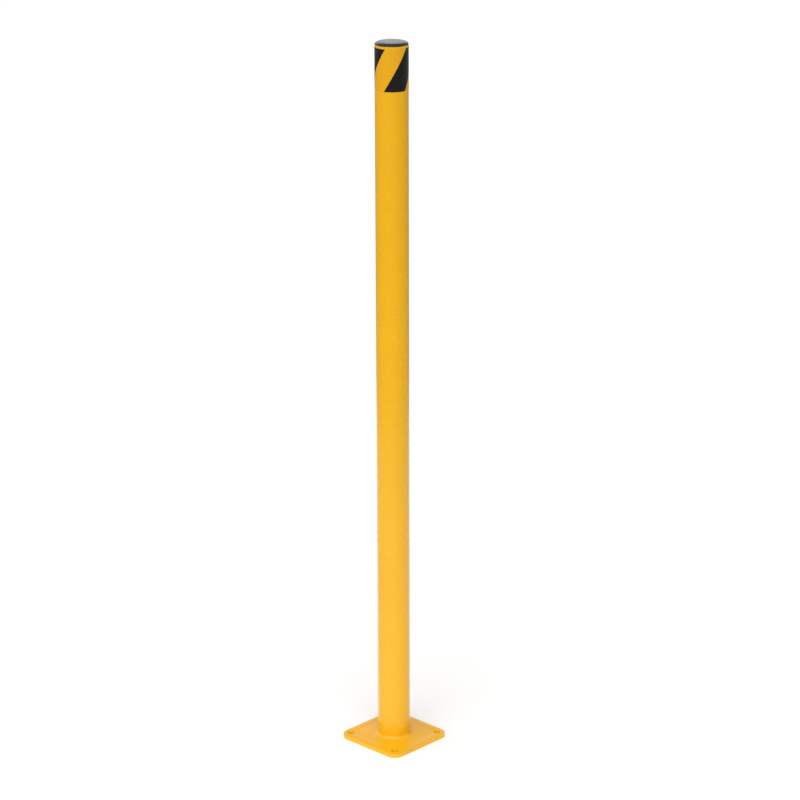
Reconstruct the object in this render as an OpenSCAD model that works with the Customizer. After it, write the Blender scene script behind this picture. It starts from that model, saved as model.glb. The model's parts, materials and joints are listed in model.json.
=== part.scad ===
// Steel safety bollard: a pipe post welded to a square anchor plate, closed by a push-in cap
// and marked with one turn of black and yellow hazard film.
// Millimetres, +Z up. The origin is the centre of the base plate's underside.

/* [Post] */
// Outside diameter of the steel pipe
pipe_od = 88.9; // [80:0.1:110]
// Wall of the steel pipe
pipe_wall = 5.5; // [3:0.1:8]
// Height of the pipe's top rim above the ground
rim_height = 1972.5; // [900:0.5:2600]
// Leg of the fillet weld round the pipe's foot
weld_leg = 8; // [4:0.5:12]

/* [Base plate] */
// Side of the square plate
plate_side = 216; // [212:1:300]
// Thickness of the plate
plate_thickness = 12; // [8:1:20]
// Radius of the plate's corners
plate_corner_r = 27; // [5:1:30]
// Distance between neighbouring anchor holes
anchor_pitch = 171; // [160:1:180]
// Diameter of an anchor hole
anchor_hole_d = 19; // [12:1:22]

/* [Hazard film] */
// Height of the band of film
film_height = 112; // [80:1:200]
// Bare pipe left between the rim and the film
film_rim_gap = 6.3; // [0:0.1:30]
// Thickness of the yellow film
film_thickness = 0.3; // [0.2:0.1:1]
// Thickness of a black stripe
stripe_thickness = 0.2; // [0.1:0.1:0.5]
// Width of a black stripe, as an angle round the pipe
stripe_arc = 77; // [30:1:90]
// Angle from one black stripe to the next
stripe_step = 156; // [120:0.5:170]
// Angle that a stripe turns through from the band's bottom to its top
stripe_lean = 83; // [0:1:120]
// Angle of the front stripe's middle, halfway up the band
stripe_start = 7.3; // [-20:0.1:20]
// Length of the lap where the film's end covers its start
film_lap = 16; // [5:1:30]

/* [Cap] */
// Diameter of the cap's head
cap_head_d = 88.5; // [86:0.1:88.9]
// Height of the head's straight edge
cap_edge_height = 2; // [1:0.1:4]
// How far in from the head's edge its round shoulder reaches
shoulder_reach = 18; // [4:0.5:20]
// How far the shoulder rises above the straight edge
shoulder_rise = 5.3; // [2:0.1:8]
// How far the crown's middle stands above the shoulder
crown_dome = 0.3; // [0.2:0.1:3]
// Length of the plug below the rim
plug_length = 32; // [24:1:60]
// Wall of the plug
plug_wall = 2.8; // [2:0.1:4]
// Gap between the plug's sealing fins and the pipe's bore
fin_clearance = 0.1; // [0.05:0.05:0.5]

/* [Hidden] */
$fn = 96;
// How far a cutter runs past the faces that it cuts
past = 1;
pipe_r = pipe_od / 2;
bore_r = pipe_r - pipe_wall;
post_length = rim_height - plate_thickness;
// How far the weld's face is hollowed, and the blunt height of its two toes
weld_sink = 0.6;
weld_toe = 0.4;

film_top = rim_height - film_rim_gap;
film_bottom = film_top - film_height;
film_outer_r = pipe_r + film_thickness;
lap_outer_r = film_outer_r + film_thickness;
lap_arc = film_lap / pipe_r * 180 / PI;
// How far the lap sinks into the film below it, so that the two fuse
lap_sink = 0.05;
// Facing angle of the seam: the side away from the front stripe
seam_angle = 134;
stripe_slices = 14;
arc_points = 10;
// The stripes are flat between their points, so they stand out by what the film bulges there
stripe_proud = 1 / cos(stripe_arc / arc_points / 2) / cos(stripe_lean / stripe_slices / 2);
// A twisted outline is cut by the slices and points above, so its circles need few facets
twist_facets = 8;
// Inner and outer radius of the sector that trims the stripes
trim_inner_r = pipe_r / 2;
trim_outer_r = pipe_r + 5;

shoulder_steps = 14;
crown_steps = 6;
fin_count = 3;
fin_thickness = 1.6;
fin_depth = 1.5;
fin_pitch = 8.5;
first_fin_z = 6;
// How far the plug's hollow reaches up into the head
hollow_rise = 0.5;

// A flat sector of a ring, from angle a to angle b
module ring_sector(r_in, r_out, a, b) {
    step = (b - a) / arc_points;
    polygon(concat(
        [for (i = [0 : arc_points]) r_in * [cos(a + i * step), sin(a + i * step)]],
        [for (i = [arc_points : -1 : 0]) r_out * [cos(a + i * step), sin(a + i * step)]]
    ));
}

// The square plate with round corners and its four anchor holes
module base_plate() {
    corner = plate_side / 2 - plate_corner_r;
    color([0.97, 0.74, 0.16])
    difference() {
        union() {
            for (turn = [0, 90])
                rotate([0, 0, turn])
                translate([-plate_side / 2, -corner, 0])
                cube([plate_side, 2 * corner, plate_thickness]);
            for (x = [-corner, corner], y = [-corner, corner])
                translate([x, y, 0])
                cylinder(r = plate_corner_r, h = plate_thickness);
        }
        for (x = [-1, 1], y = [-1, 1])
            translate([x * anchor_pitch / 2, y * anchor_pitch / 2, -past])
            cylinder(d = anchor_hole_d, h = plate_thickness + 2 * past);
    }
}

// The round pipe that stands on the plate, open at its rim
module post_tube() {
    color([0.97, 0.74, 0.16])
    translate([0, 0, plate_thickness])
    difference() {
        cylinder(r = pipe_r, h = post_length);
        translate([0, 0, -past])
        cylinder(r = bore_r, h = post_length + 2 * past);
    }
}

// One continuous fillet bead, slightly hollow in section, between pipe and plate
module base_weld() {
    color([0.95, 0.71, 0.15])
    translate([0, 0, plate_thickness])
    rotate_extrude()
    polygon([
        [pipe_r, 0],
        [pipe_r + weld_leg, 0],
        [pipe_r + weld_leg, weld_toe],
        [pipe_r + weld_leg / 2 - weld_sink, weld_leg / 2 - weld_sink],
        [pipe_r + weld_toe, weld_leg],
        [pipe_r, weld_leg]
    ]);
}

// One turn of yellow film whose end laps over its start at the back
module hazard_film() {
    color([0.95, 0.71, 0.15])
    translate([0, 0, film_bottom])
    union() {
        difference() {
            cylinder(r = film_outer_r, h = film_height);
            translate([0, 0, -past])
            cylinder(r = pipe_r, h = film_height + 2 * past);
        }
        rotate([0, 0, seam_angle - lap_arc / 2])
        rotate_extrude(angle = lap_arc)
        translate([film_outer_r - lap_sink, 0])
        square([film_thickness + lap_sink, film_height]);
    }
}

// The part of one leaning stripe that lies between two angles round the pipe
module stripe_part(middle, r_in, a, b) {
    intersection() {
        rotate([0, 0, middle - stripe_lean / 2])
        linear_extrude(
            height = film_height, twist = -stripe_lean,
            slices = stripe_slices, $fn = twist_facets
        )
        ring_sector(r_in, r_in + stripe_thickness, -stripe_arc / 2, stripe_arc / 2);
        linear_extrude(height = film_height)
        ring_sector(trim_inner_r, trim_outer_r, a, b);
    }
}

// The black stripes: one next to the film's start, one in front, and one that its end cuts off
module film_stripes() {
    lap_start = seam_angle - lap_arc / 2;
    lap_end = seam_angle + lap_arc / 2;
    last_stripe = stripe_start + stripe_step;
    film_r = film_outer_r * stripe_proud;
    color([0.1, 0.09, 0.09])
    translate([0, 0, film_bottom]) {
        stripe_part(stripe_start - stripe_step, film_r, lap_end - 360, 0);
        stripe_part(stripe_start, film_r, -180, lap_start);
        stripe_part(last_stripe, film_r, 0, lap_start);
        stripe_part(last_stripe, lap_outer_r * stripe_proud, lap_start, lap_end);
    }
}

// Half section of the cap: a head with a round shoulder and a shallow crown over a hollow plug
// with sealing fins
module cap_section() {
    head_r = cap_head_d / 2;
    fin_r = bore_r - fin_clearance;
    plug_r = fin_r - fin_depth;
    crown_r = head_r - shoulder_reach;
    crown_z = cap_edge_height + shoulder_rise;
    difference() {
        union() {
            polygon(concat(
                [[0, 0], [head_r, 0]],
                [for (i = [0 : shoulder_steps])
                    let (turn = 90 * i / shoulder_steps)
                    [crown_r + shoulder_reach * cos(turn), cap_edge_height + shoulder_rise * sin(turn)]],
                [for (i = [1 : crown_steps])
                    let (inward = i / crown_steps)
                    [crown_r * (1 - inward), crown_z + crown_dome * (1 - pow(1 - inward, 2))]]
            ));
            translate([0, -plug_length])
            square([plug_r, plug_length + past]);
            for (i = [0 : fin_count - 1])
                translate([0, -first_fin_z - i * fin_pitch - fin_thickness])
                square([fin_r, fin_thickness]);
        }
        translate([0, -plug_length - past])
        square([plug_r - plug_wall, plug_length + past + hollow_rise]);
    }
}

// The push-in cap, resting on the pipe's rim
module top_cap() {
    color([0.09, 0.08, 0.09])
    translate([0, 0, rim_height])
    rotate_extrude()
    cap_section();
}

base_plate();
post_tube();
base_weld();
hazard_film();
film_stripes();
top_cap();
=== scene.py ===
# Steel safety bollard: coated pipe and plate, rippled weld bead, hazard film and moulded cap, built
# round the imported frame. Metres, +Z up, origin at the centre of the base plate's underside.
import json
import math

import bmesh
import bpy
from mathutils import Matrix, Vector, noise


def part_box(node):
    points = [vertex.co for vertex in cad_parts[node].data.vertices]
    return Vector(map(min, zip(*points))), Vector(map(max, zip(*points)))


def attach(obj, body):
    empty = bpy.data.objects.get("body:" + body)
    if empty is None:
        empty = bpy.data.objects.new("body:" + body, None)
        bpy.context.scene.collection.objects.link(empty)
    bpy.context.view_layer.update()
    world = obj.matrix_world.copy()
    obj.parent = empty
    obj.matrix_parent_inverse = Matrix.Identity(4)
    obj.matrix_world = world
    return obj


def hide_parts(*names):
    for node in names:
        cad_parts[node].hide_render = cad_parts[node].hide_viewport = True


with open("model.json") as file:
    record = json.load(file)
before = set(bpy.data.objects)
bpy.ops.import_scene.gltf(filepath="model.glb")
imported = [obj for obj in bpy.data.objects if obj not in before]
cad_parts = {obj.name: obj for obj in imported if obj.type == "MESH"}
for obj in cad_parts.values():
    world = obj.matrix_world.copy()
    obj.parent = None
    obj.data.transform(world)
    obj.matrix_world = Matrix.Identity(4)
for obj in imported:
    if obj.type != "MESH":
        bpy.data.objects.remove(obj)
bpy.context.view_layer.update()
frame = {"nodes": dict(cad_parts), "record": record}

MM = 0.001
UP = (0, 0, 1)


# ---------------------------------------------------------------- sizes, read from the frame

def radii(node):
    """Smallest and largest distance of a CAD node's vertices from the post's axis."""
    reach = [math.hypot(v.co.x, v.co.y) for v in frame["nodes"][node].data.vertices]
    return min(reach), max(reach)


mounts = {m["name"]: m for m in frame["record"]["mounts"]}

plate_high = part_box("base_plate")[1]
plate_half = plate_high.x
plate_top = plate_high.z
plate_corner_r = 27 * MM
plate_edge_round = 0.9 * MM
hole_r = mounts["anchor_holes"]["dims"]["hole_r_mm"] * MM
hole_step = mounts["anchor_holes"]["dims"]["spacing_x_mm"] * MM / 2
hole_edge_round = 0.7 * MM

bore_r, pipe_r = radii("post_tube")
rim_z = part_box("post_tube")[1].z
rim_round = 0.9 * MM
overspray_depth = 45 * MM

weld_r = radii("base_weld")[1]
weld_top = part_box("base_weld")[1].z
weld_toe = 0.3 * MM
weld_hollow = 0.93
ripple_length = 3.4 * MM
ripple_height = 0.22 * MM
ripple_bow = 1.1
bead_wander = 0.25 * MM
bumps_per_metre = 60

film_low, film_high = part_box("hazard_film")
film_bottom, film_top = film_low.z, film_high.z
film_thickness = (radii("hazard_film")[1] - pipe_r) / 2
film_lap = 16 * MM
lap_climb = 1.2 * MM
stripe_thickness = 0.15 * MM

cap_low, cap_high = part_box("top_cap")
head_r = cap_high.x
cap_crown_z = cap_high.z
plug_low_z = cap_low.z
cap_edge_height = 2 * MM
cap_edge_round = 0.5 * MM
shoulder_reach = 18 * MM
shoulder_rise = 5.3 * MM
plug_wall = 2.8 * MM
fin_clearance = 0.1 * MM
fin_depth = 1.5 * MM
fin_thickness = 1.6 * MM
fin_pitch = 8.5 * MM
first_fin = 6 * MM
fin_count = 3
fin_foot = 0.3 * MM
plug_lead_in = 0.8 * MM
hollow_rise = 0.5 * MM
hollow_round = 2 * MM

# How the stripes run round the post, in degrees
seam_angle = 134
stripe_start = 7.3
stripe_step = 156
stripe_arc = 77
stripe_lean = 83

# How finely the round shapes are divided
plate_corner_steps = 20
hole_steps = 64
pipe_steps = 192
rim_steps = 5
ripple_steps = 10
bead_face_steps = 12
film_columns = 320
stripe_rows = 14
cap_steps = 160
crown_steps = 12
shoulder_steps = 24

# Two edges of a shape meet sharply past this angle
sharp_angle = math.radians(60)

# Each finish has two close colours, which a soft pattern mixes
coat_yellow = (0.870, 0.455, 0.0025), (0.850, 0.435, 0.0025)
bare_steel = (0.10, 0.095, 0.090), (0.23, 0.22, 0.21)
film_yellow = (0.850, 0.425, 0.003), (0.830, 0.410, 0.003)
film_black = (0.0050, 0.0043, 0.0038), (0.0065, 0.0055, 0.0048)
plastic_black = (0.012, 0.0115, 0.0125), (0.018, 0.017, 0.019)
floor_white = (0.95, 0.95, 0.95), (0.96, 0.96, 0.96)


# ---------------------------------------------------------------- mesh helpers

def finish_mesh(name, bm, smooth_below=40):
    """Turns a bmesh into a piece: outward normals, smooth faces, sharp edges past an angle."""
    bmesh.ops.remove_doubles(bm, verts=bm.verts, dist=1e-7)
    bmesh.ops.recalc_face_normals(bm, faces=bm.faces)
    limit = math.radians(smooth_below)
    for face in bm.faces:
        face.smooth = True
    for edge in bm.edges:
        edge.smooth = len(edge.link_faces) == 2 and edge.calc_face_angle() < limit
    mesh = bpy.data.meshes.new(name)
    bm.to_mesh(mesh)
    bm.free()
    piece = bpy.data.objects.new(name, mesh)
    bpy.context.scene.collection.objects.link(piece)
    return piece


def wire(bm, points, closed=True):
    """A line of edges through (radius, height) points in the XZ plane."""
    verts = [bm.verts.new((r, 0, z)) for r, z in points]
    pairs = list(zip(verts, verts[1:])) + ([(verts[-1], verts[0])] if closed else [])
    return verts + [bm.edges.new(pair) for pair in pairs]


def turned(points, steps, closed=True):
    """A bmesh made by spinning a profile once round the post's axis."""
    bm = bmesh.new()
    bmesh.ops.spin(
        bm, geom=wire(bm, points, closed), cent=(0, 0, 0), axis=UP,
        angle=2 * math.pi, steps=steps, use_merge=True,
    )
    return bm


def arc(centre, radius, start, end, steps):
    """Points on a circular arc in the profile plane; angles in degrees from the outward direction."""
    turn = [math.radians(start + (end - start) * i / steps) for i in range(steps + 1)]
    return [(centre[0] + radius * math.cos(t), centre[1] + radius * math.sin(t)) for t in turn]


def round_edges(bm, edges, radius, segments=4):
    bmesh.ops.bevel(
        bm, geom=edges, offset=radius, offset_type="OFFSET", segments=segments,
        profile=0.5, affect="EDGES", clamp_overlap=True, material=-1,
    )


# ---------------------------------------------------------------- materials

def new_material(name):
    material = bpy.data.materials.new(name)
    material.use_nodes = True
    tree = material.node_tree
    return material, tree, tree.nodes["Principled BSDF"]


def node(tree, kind, inputs=None, **settings):
    made = tree.nodes.new(kind)
    for key, value in settings.items():
        setattr(made, key, value)
    for key, value in (inputs or {}).items():
        if isinstance(value, bpy.types.NodeSocket):
            tree.links.new(value, made.inputs[key])
        else:
            made.inputs[key].default_value = value
    return made


def place(tree):
    return node(tree, "ShaderNodeTexCoord").outputs["Object"]


def grain(tree, size, detail=2.0, roughness=0.5):
    """Noise whose lumps are about size metres across."""
    made = node(tree, "ShaderNodeTexNoise", {
        "Vector": place(tree), "Scale": 1 / size, "Detail": detail, "Roughness": roughness,
    })
    return made.outputs["Fac"]


def spread(tree, value, low, high, start=0.3, end=0.7):
    """Maps a noise value to a range."""
    made = node(tree, "ShaderNodeMapRange", {
        "Value": value, "From Min": start, "From Max": end, "To Min": low, "To Max": high,
    })
    return made.outputs["Result"]


def shade_between(tree, factor, first, second):
    """Mixes two set colours."""
    made = node(tree, "ShaderNodeMix", {"Factor": factor}, data_type="RGBA")
    made.inputs[6].default_value = (*first, 1)
    made.inputs[7].default_value = (*second, 1)
    return made.outputs[2]


def mixed(tree, factor, first, second):
    """Mixes two colours that other nodes give."""
    made = node(tree, "ShaderNodeMix", {"Factor": factor}, data_type="RGBA")
    tree.links.new(first, made.inputs[6])
    tree.links.new(second, made.inputs[7])
    return made.outputs[2]


def between(tree, factor, first, second):
    """Mixes two numbers."""
    made = node(tree, "ShaderNodeMix", {"Factor": factor, 2: first, 3: second}, data_type="FLOAT")
    return made.outputs[0]


def math_node(tree, kind, a, b=0.0):
    return node(tree, "ShaderNodeMath", {0: a, 1: b}, operation=kind).outputs["Value"]


def relief(tree, height, depth, under=None):
    """Bump of the given depth in metres, on top of another bump if there is one."""
    inputs = {"Height": height, "Distance": depth, "Strength": 1.0}
    if under is not None:
        inputs["Normal"] = under
    return node(tree, "ShaderNodeBump", inputs).outputs["Normal"]


def powder_coat(name, smooth=0.22, rough=0.29, bare_bore=False):
    """Glossy yellow powder coat: slight cloudiness and fine orange peel. In a pipe it thins out
    below the rim, where it is only overspray, and the bore shows bare steel."""
    material, tree, shader = new_material(name)
    clouds = spread(tree, grain(tree, 90 * MM), 0, 1)
    colour = shade_between(tree, clouds, *coat_yellow)
    polish = spread(tree, grain(tree, 25 * MM), smooth, rough)
    if bare_bore:
        bare = bore_mask(tree)
        scale = spread(tree, grain(tree, 7 * MM, 4.0), 0, 1)
        steel = shade_between(tree, scale, *bare_steel)
        colour = mixed(tree, bare, colour, steel)
        polish = between(tree, bare, polish, 0.5)
        tree.links.new(between(tree, bare, 0.0, 0.7), shader.inputs["Metallic"])
    peel = relief(tree, grain(tree, 2.6 * MM, 1.0), 0.010 * MM)
    specks = relief(tree, grain(tree, 0.5 * MM), 0.0012 * MM, peel)
    tree.links.new(colour, shader.inputs["Base Color"])
    tree.links.new(polish, shader.inputs["Roughness"])
    tree.links.new(specks, shader.inputs["Normal"])
    shader.inputs["IOR"].default_value = 1.5
    return material


def bore_mask(tree):
    """0 on the coat and the rim, 1 on the bore deeper than the overspray reaches."""
    parts = node(tree, "ShaderNodeSeparateXYZ", {"Vector": place(tree)})
    flat = node(tree, "ShaderNodeCombineXYZ", {"X": parts.outputs["X"], "Y": parts.outputs["Y"]})
    reach = node(tree, "ShaderNodeVectorMath", {0: flat.outputs["Vector"]}, operation="LENGTH")
    inside = spread(tree, reach.outputs["Value"], 1, 0, bore_r + 0.2 * MM, bore_r + 1.5 * MM)
    ragged = between(tree, grain(tree, 9 * MM, 3.0), -14 * MM, 14 * MM)
    height = math_node(tree, "ADD", parts.outputs["Z"], ragged)
    deep = spread(tree, height, 1, 0, rim_z - overspray_depth, rim_z - 8 * MM)
    return math_node(tree, "MULTIPLY", inside, deep)


def yellow_film():
    """Smooth yellow self-adhesive film with faint ripples from laying it on by hand."""
    material, tree, shader = new_material("yellow_hazard_film")
    tone = spread(tree, grain(tree, 40 * MM), 0, 1)
    colour = shade_between(tree, tone, *film_yellow)
    ripples = relief(tree, grain(tree, 14 * MM, 1.0), 0.02 * MM)
    tree.links.new(colour, shader.inputs["Base Color"])
    tree.links.new(spread(tree, grain(tree, 8 * MM), 0.2, 0.28), shader.inputs["Roughness"])
    tree.links.new(ripples, shader.inputs["Normal"])
    return material


def black_film():
    """Black film of the stripes, as smooth as the yellow under it."""
    material, tree, shader = new_material("black_hazard_film")
    tone = spread(tree, grain(tree, 30 * MM), 0, 1)
    colour = shade_between(tree, tone, *film_black)
    ripples = relief(tree, grain(tree, 14 * MM, 1.0), 0.02 * MM)
    tree.links.new(colour, shader.inputs["Base Color"])
    tree.links.new(spread(tree, grain(tree, 6 * MM), 0.22, 0.3), shader.inputs["Roughness"])
    tree.links.new(ripples, shader.inputs["Normal"])
    shader.inputs["Specular IOR Level"].default_value = 0.38
    return material


def cap_plastic():
    """Moulded black plastic with the fine grain of an eroded mould."""
    material, tree, shader = new_material("black_cap_plastic")
    tone = spread(tree, grain(tree, 12 * MM), 0, 1)
    colour = shade_between(tree, tone, *plastic_black)
    fine = relief(tree, grain(tree, 0.45 * MM, 3.0), 0.006 * MM)
    tree.links.new(colour, shader.inputs["Base Color"])
    tree.links.new(spread(tree, grain(tree, 5 * MM), 0.17, 0.23), shader.inputs["Roughness"])
    tree.links.new(fine, shader.inputs["Normal"])
    return material


# ---------------------------------------------------------------- pieces

def hand_over(piece, body, material, slot_name, *nodes):
    piece.data.materials.append(material)
    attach(piece, body)
    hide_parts(*nodes)
    return piece


def coated_plate():
    """Square plate with round corners, four anchor holes and softly rounded coated edges."""
    bm = bmesh.new()
    bmesh.ops.create_grid(bm, x_segments=1, y_segments=1, size=plate_half)
    bmesh.ops.bevel(
        bm, geom=bm.verts[:], offset=plate_corner_r, offset_type="OFFSET",
        segments=plate_corner_steps, profile=0.5, affect="VERTICES", clamp_overlap=True,
        material=-1,
    )
    bmesh.ops.delete(bm, geom=bm.faces[:], context="FACES_ONLY")
    for x in (-hole_step, hole_step):
        for y in (-hole_step, hole_step):
            bmesh.ops.create_circle(
                bm, cap_ends=False, segments=hole_steps, radius=hole_r,
                matrix=Matrix.Translation((x, y, 0)),
            )
    bmesh.ops.triangle_fill(bm, use_beauty=True, use_dissolve=False, edges=bm.edges[:])
    made = bmesh.ops.extrude_face_region(bm, geom=bm.faces[:])
    risen = [v for v in made["geom"] if isinstance(v, bmesh.types.BMVert)]
    bmesh.ops.translate(bm, verts=risen, vec=(0, 0, plate_top))
    bmesh.ops.recalc_face_normals(bm, faces=bm.faces)
    round_edges(bm, sharp_edges(bm, in_hole=False), plate_edge_round)
    round_edges(bm, sharp_edges(bm, in_hole=True), hole_edge_round)
    return finish_mesh("coated_plate", bm, 40)


def sharp_edges(bm, in_hole):
    """The plate's sharp edges, either those of the anchor holes or all the others."""
    return [
        e for e in bm.edges
        if len(e.link_faces) == 2 and e.calc_face_angle() > sharp_angle
        and near_hole(e.verts[0].co) == in_hole
    ]


def near_hole(point):
    return math.hypot(abs(point.x) - hole_step, abs(point.y) - hole_step) < hole_r + 0.01 * MM


def coated_pipe():
    """Steel pipe with a softened rim."""
    wall = [(bore_r, plate_top), (pipe_r, plate_top), (pipe_r, rim_z), (bore_r, rim_z)]
    bm = turned(wall, pipe_steps)
    rim = [e for e in bm.edges if all(v.co.z > rim_z - MM for v in e.verts)
           and abs(e.verts[0].co.xy.length - e.verts[1].co.xy.length) < MM / 10]
    round_edges(bm, rim, rim_round, rim_steps)
    return finish_mesh("coated_pipe", bm, 40)


def weld_bead():
    """Continuous fillet bead: overlapping crescent ripples under the coat."""
    leg_out = weld_r - pipe_r
    leg_up = weld_top - plate_top
    count = round(2 * math.pi * (pipe_r + leg_out / 2) / ripple_length)
    corner = (pipe_r + leg_out, plate_top + leg_up)
    profile = [(pipe_r, plate_top), (weld_r - weld_toe, plate_top)]
    profile += arc(corner, weld_hollow * leg_out, 262, 188, bead_face_steps)
    profile += [(pipe_r, weld_top - weld_toe)]
    bm = turned(profile, count * ripple_steps)
    middle = Vector((pipe_r + leg_out, 0, plate_top + leg_up))
    for vert in bm.verts:
        reach = vert.co.xy.length
        rise = vert.co.z - plate_top
        if reach < pipe_r + 0.05 * MM or rise < 0.05 * MM:
            continue
        angle = math.atan2(vert.co.y, vert.co.x)
        across = math.atan2(rise, reach - pipe_r) / (math.pi / 2)
        crescent = ripple_bow * (2 * across - 1) ** 2
        phase = (angle * count / (2 * math.pi) + crescent) % 1.0
        swell = math.sin(math.pi * phase) ** 0.7 - 0.5
        lump = ripple_height * swell * math.sin(math.pi * across) ** 0.5
        wander = bead_wander * noise.noise(vert.co * bumps_per_metre)
        out = Vector((vert.co.x, vert.co.y, 0)).normalized()
        away = (out * (middle.x - reach) + Vector(UP) * (middle.z - vert.co.z)).normalized()
        vert.co += away * (lump + wander)
    return finish_mesh("weld_bead", bm, 60)


def rolled(bm, base_r):
    """Rolls a flat strip round the pipe: x runs along the turn, y is up and z is the film's depth.
    The end that passes a full turn climbs onto the start."""
    whole = 2 * math.pi * pipe_r
    start = math.radians(seam_angle) - film_lap / 2 / pipe_r
    for vert in bm.verts:
        along, up, deep = vert.co
        lift = min(max((along - whole + lap_climb) / lap_climb, 0), 1)
        reach = base_r + deep + film_thickness * lift * lift * (3 - 2 * lift)
        angle = start + along / pipe_r
        vert.co = (reach * math.cos(angle), reach * math.sin(angle), up)


def flat_strip(columns, rows):
    """The film laid out flat: one whole turn and the lap, standing on its lower edge."""
    length = 2 * math.pi * pipe_r + film_lap
    height = film_top - film_bottom
    bm = bmesh.new()
    bmesh.ops.create_grid(bm, x_segments=columns, y_segments=rows, size=0.5)
    bmesh.ops.scale(bm, vec=(length, height, 1), verts=bm.verts)
    bmesh.ops.translate(bm, vec=(length / 2, film_bottom + height / 2, 0), verts=bm.verts)
    return bm


def thicken(bm, thickness):
    """Gives a flat strip its thickness upwards from the face it lies on."""
    made = bmesh.ops.extrude_face_region(bm, geom=bm.faces[:], use_keep_orig=True)
    risen = [v for v in made["geom"] if isinstance(v, bmesh.types.BMVert)]
    bmesh.ops.translate(bm, vec=(0, 0, thickness), verts=risen)
    bmesh.ops.recalc_face_normals(bm, faces=bm.faces)


def hazard_wrap():
    """Yellow film, wound once round, with its end lapped over its start."""
    bm = flat_strip(film_columns, 1)
    thicken(bm, film_thickness)
    rolled(bm, pipe_r)
    return finish_mesh("hazard_wrap", bm, 40)


def black_stripes():
    """Leaning stripes cut from black film, laid on the yellow before it is wound on."""
    bm = flat_strip(film_columns, stripe_rows)
    height = film_top - film_bottom
    per_degree = math.radians(1) * pipe_r
    first = seam_angle - math.degrees(film_lap / 2 / pipe_r)
    slant = stripe_lean * per_degree
    cuts = []
    for turn in (-1, 0, 1):
        middle = (360 + stripe_start + turn * stripe_step - first) * per_degree
        cuts.append((middle - stripe_arc * per_degree / 2, middle + stripe_arc * per_degree / 2))
    normal = Vector((height, -slant, 0)).normalized()
    for edge in (x for pair in cuts for x in pair):
        bmesh.ops.bisect_plane(
            bm, geom=bm.verts[:] + bm.edges[:] + bm.faces[:], dist=1e-7,
            plane_co=(edge, film_bottom + height / 2, 0), plane_no=normal,
        )
    gaps = []
    for face in bm.faces:
        centre = face.calc_center_median()
        foot = centre.x - (centre.y - film_bottom - height / 2) * slant / height
        if not any(left < foot < right for left, right in cuts):
            gaps.append(face)
    bmesh.ops.delete(bm, geom=gaps, context="FACES")
    thicken(bm, stripe_thickness)
    rolled(bm, pipe_r + film_thickness)
    return finish_mesh("black_stripes", bm, 40)


def moulded_cap():
    """Push-in cap: shallow crown with a round shoulder, hollow plug with three sealing fins."""
    edge_z = rim_z + cap_edge_height
    crown_r = head_r - shoulder_reach
    crown_z = edge_z + shoulder_rise
    fin_r = bore_r - fin_clearance
    plug_r = fin_r - fin_depth
    hollow_r = plug_r - plug_wall
    ceiling = rim_z + hollow_rise
    bottom = plug_low_z
    profile = []
    for i in range(crown_steps + 1):
        out = i / crown_steps
        profile.append((crown_r * out, cap_crown_z - (cap_crown_z - crown_z) * out ** 2))
    for x, y in arc((0, 0), 1, 90, 0, shoulder_steps)[1:]:
        profile.append((crown_r + shoulder_reach * x, edge_z + shoulder_rise * y))
    profile += arc((head_r - cap_edge_round, rim_z + cap_edge_round), cap_edge_round, 0, -90, 4)
    profile += [(plug_r, rim_z)]
    for i in range(fin_count):
        top = rim_z - first_fin - i * fin_pitch
        profile += [(plug_r, top), (fin_r, top), (fin_r, top - fin_thickness / 2)]
        profile += [(plug_r + fin_foot, top - fin_thickness)]
    profile += [(plug_r, bottom + plug_lead_in), (plug_r - 0.5 * MM, bottom)]
    profile += [(hollow_r + 0.4 * MM, bottom), (hollow_r, bottom + 0.6 * MM)]
    profile += arc((hollow_r - hollow_round, ceiling - hollow_round), hollow_round, 0, 90, 6)
    profile += [(0, ceiling)]
    bm = turned(profile, cap_steps, closed=False)
    return finish_mesh("moulded_cap", bm, 35)


plate_coat = powder_coat("yellow_plate_coat", 0.31, 0.38)
pipe_coat = powder_coat("yellow_pipe_coat", bare_bore=True)
weld_coat = powder_coat("yellow_weld_coat")
hand_over(coated_plate(), "post", plate_coat, "powder_coat", "base_plate")
hand_over(coated_pipe(), "post", pipe_coat, "powder_coat", "post_tube")
hand_over(weld_bead(), "post", weld_coat, "powder_coat", "base_weld")
hand_over(hazard_wrap(), "post", yellow_film(), "yellow_film", "hazard_film")
hand_over(black_stripes(), "post", black_film(), "black_film", "film_stripes")
hand_over(moulded_cap(), "cap", cap_plastic(), "cap_plastic", "top_cap")


# ---------------------------------------------------------------- studio

camera_azimuth = 44.1
camera_distance = 7.338
camera_height = 3.462
camera_tilt = 18.564
camera_swing = 0.151
camera_roll = -0.168
camera_lens = 128.85

floor_r = 3.2
floor_glow = 0.07
backdrop = 1.02

# Soft lights: turn from the camera towards its right, height above the horizon, how far from its
# middle the light fades out (all in degrees), and strength
soft_lights = {
    "front": (0, 12, 42, 0.59),
    "front_left": (-45, 12, 42, 0.56),
    "back_left": (-135, 12, 42, 0.88),
    "behind": (180, 5, 36, 1.15),
    "right": (90, 12, 42, 0.53),
    "high_front": (0, 48, 42, 2.65),
    "high_left": (-60, 48, 42, 0.93),
    "high_back_left": (-120, 48, 42, 0.48),
    "high_back_right": (120, 48, 42, 0.70),
}
light_core = 4
ground_glow = 0.325
horizon_blur = 0.03

view_settings = bpy.context.scene.view_settings
view_settings.view_transform = "Standard"


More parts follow.
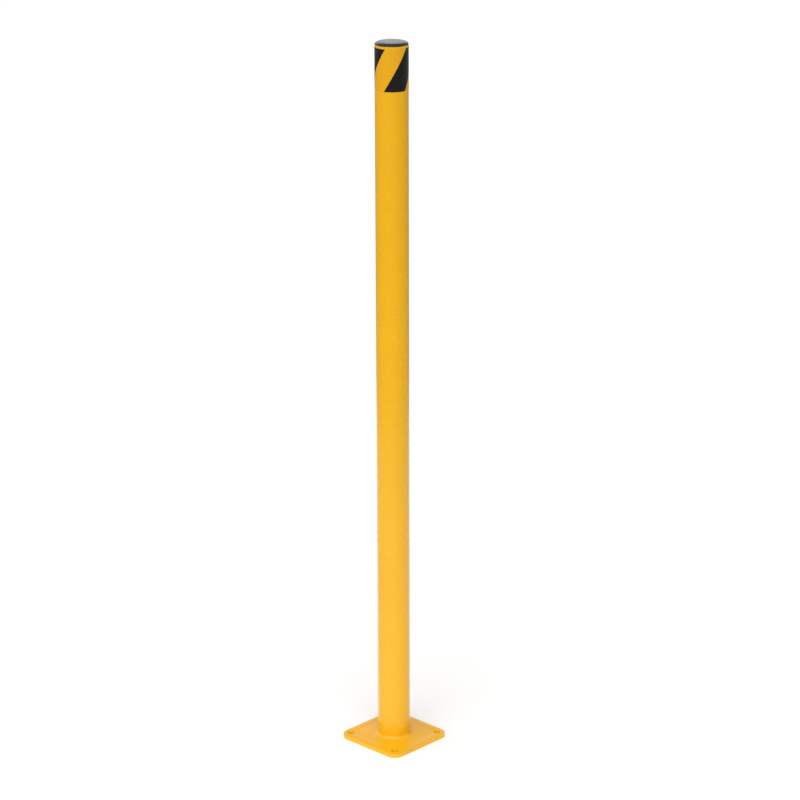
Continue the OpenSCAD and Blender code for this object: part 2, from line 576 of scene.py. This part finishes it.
def studio_camera():
    data = bpy.data.cameras.new("studio_camera")
    data.sensor_width = 36
    data.lens = camera_lens
    data.clip_end = 200
    camera = bpy.data.objects.new("studio_camera", data)
    bpy.context.scene.collection.objects.link(camera)
    round_post = Matrix.Rotation(math.radians(camera_azimuth), 4, "Z")
    spot = round_post @ Vector((0, -camera_distance, camera_height))
    heading = Matrix.Rotation(math.radians(camera_azimuth - camera_swing), 4, "Z")
    tilt = Matrix.Rotation(math.radians(90 - camera_tilt), 4, "X")
    roll = Matrix.Rotation(math.radians(camera_roll), 4, "Z")
    camera.matrix_world = Matrix.Translation(spot) @ heading @ tilt @ roll
    bpy.context.scene.camera = camera


def studio_floor():
    bm = bmesh.new()
    bmesh.ops.create_circle(bm, cap_ends=True, segments=96, radius=floor_r)
    floor = finish_mesh("studio_floor", bm)
    material, tree, shader = new_material("floor_paper")
    tone = spread(tree, grain(tree, 600 * MM), 0, 1)
    shade = shade_between(tree, tone, *floor_white)
    tree.links.new(shade, shader.inputs["Base Color"])
    shader.inputs["Roughness"].default_value = 0.9
    shader.inputs["Specular IOR Level"].default_value = 0.2
    shader.inputs["Emission Color"].default_value = (1, 1, 1, 1)
    shader.inputs["Emission Strength"].default_value = floor_glow
    floor.data.materials.append(material)


def studio_sky():
    """Large soft lights round the post, a dim ground past the floor and a white backdrop. The camera
    sees only the backdrop."""
    world = bpy.data.worlds.new("studio_sky")
    bpy.context.scene.world = world
    world.use_nodes = True
    tree = world.node_tree
    tree.nodes.clear()
    where = node(tree, "ShaderNodeTexCoord").outputs["Generated"]
    high = node(tree, "ShaderNodeSeparateXYZ", {"Vector": where}).outputs["Z"]
    glow = None
    for turn, height, edge, strength in soft_lights.values():
        swing = math.radians(turn + camera_azimuth)
        lift = math.radians(height)
        towards = (math.sin(swing) * math.cos(lift), -math.cos(swing) * math.cos(lift), math.sin(lift))
        facing = node(tree, "ShaderNodeVectorMath", {0: where, 1: towards}, operation="DOT_PRODUCT")
        light = node(tree, "ShaderNodeMapRange", {
            "Value": facing.outputs["Value"], "To Max": strength,
            "From Min": math.cos(math.radians(edge)), "From Max": math.cos(math.radians(light_core)),
        }, interpolation_type="SMOOTHSTEP").outputs["Result"]
        glow = light if glow is None else math_node(tree, "ADD", glow, light)
    above = spread(tree, high, 0, 1, -horizon_blur, horizon_blur)
    lit = between(tree, above, ground_glow, glow)
    seen = node(tree, "ShaderNodeLightPath").outputs["Is Camera Ray"]
    shine = node(tree, "ShaderNodeBackground", {
        "Color": (1, 1, 1, 1), "Strength": between(tree, seen, lit, backdrop),
    })
    output = node(tree, "ShaderNodeOutputWorld")
    tree.links.new(shine.outputs[0], output.inputs["Surface"])


studio_camera()
studio_floor()
studio_sky()
